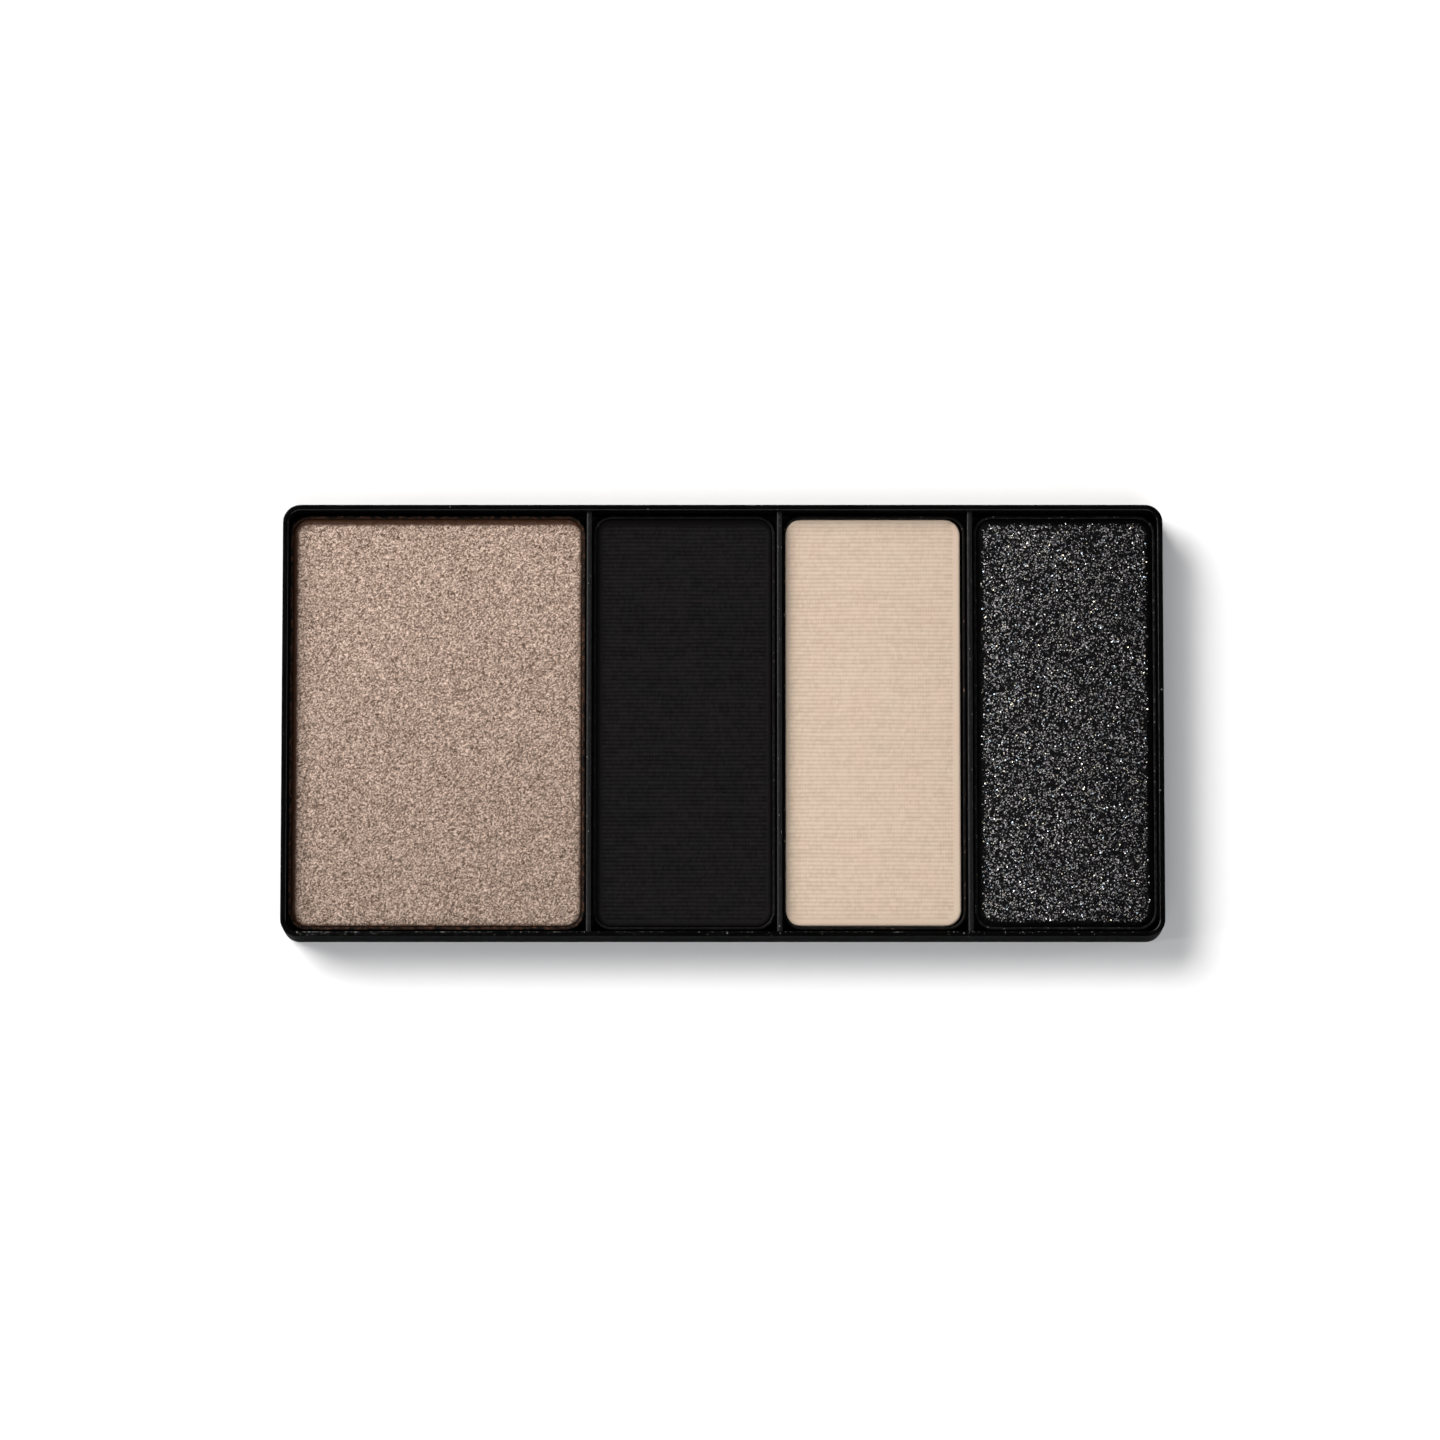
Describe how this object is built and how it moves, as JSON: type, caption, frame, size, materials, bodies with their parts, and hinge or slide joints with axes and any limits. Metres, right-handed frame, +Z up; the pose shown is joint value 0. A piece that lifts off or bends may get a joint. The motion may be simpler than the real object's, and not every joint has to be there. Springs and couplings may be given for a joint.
{
  "type": "eyeshadow palette",
  "caption": "Slim lidless eyeshadow palette: a black moulded tray with a wide bay and narrower bays side by side, each holding a lift-out tin pan of pressed powder.",
  "frame": {"origin": "centre of the tray's underside", "axes": "+X along the row of bays, from the wide bay to the narrow ones; +Y to the back; +Z up, out of the open bays"},
  "size_m": [0.08, 0.0396, 0.005],
  "materials": {
    "tray_plastic": "black moulded plastic, satin walls and a lightly polished rim",
    "tin": "black lacquered tinplate",
    "powder_shimmer": "pressed champagne powder with dense fine pearl",
    "powder_black": "pressed matte soft-black powder, woven press marks",
    "powder_beige": "pressed matte beige powder, woven press marks",
    "powder_glitter": "pressed black powder full of silver glitter",
    "magnet": "nickel plate",
    "glue": "cured adhesive",
    "label": "blank matte film label"
  },
  "bodies": {
    "tray": {"tray": "tray_plastic", "magnet_shimmer_left": "magnet", "magnet_shimmer_right": "magnet", "magnet_black": "magnet", "magnet_beige": "magnet", "magnet_glitter": "magnet", "magnet_glue": "glue", "base_label": "label"},
    "refill_shimmer": {"pan_shimmer": "tin", "powder_shimmer": "powder_shimmer"},
    "refill_black": {"pan_black": "tin", "powder_black": "powder_black"},
    "refill_beige": {"pan_beige": "tin", "powder_beige": "powder_beige"},
    "refill_glitter": {"pan_glitter": "tin", "powder_glitter": "powder_glitter"}
  },
  "joints": [
    {"name": "shimmer_lift", "type": "slide", "parent": "tray", "child": "refill_shimmer", "axis": [0, 0, 1], "range_m": [0, 0.015]},
    {"name": "black_lift", "type": "slide", "parent": "tray", "child": "refill_black", "axis": [0, 0, 1], "range_m": [0, 0.015]},
    {"name": "beige_lift", "type": "slide", "parent": "tray", "child": "refill_beige", "axis": [0, 0, 1], "range_m": [0, 0.015]},
    {"name": "glitter_lift", "type": "slide", "parent": "tray", "child": "refill_glitter", "axis": [0, 0, 1], "range_m": [0, 0.015]}
  ]
}
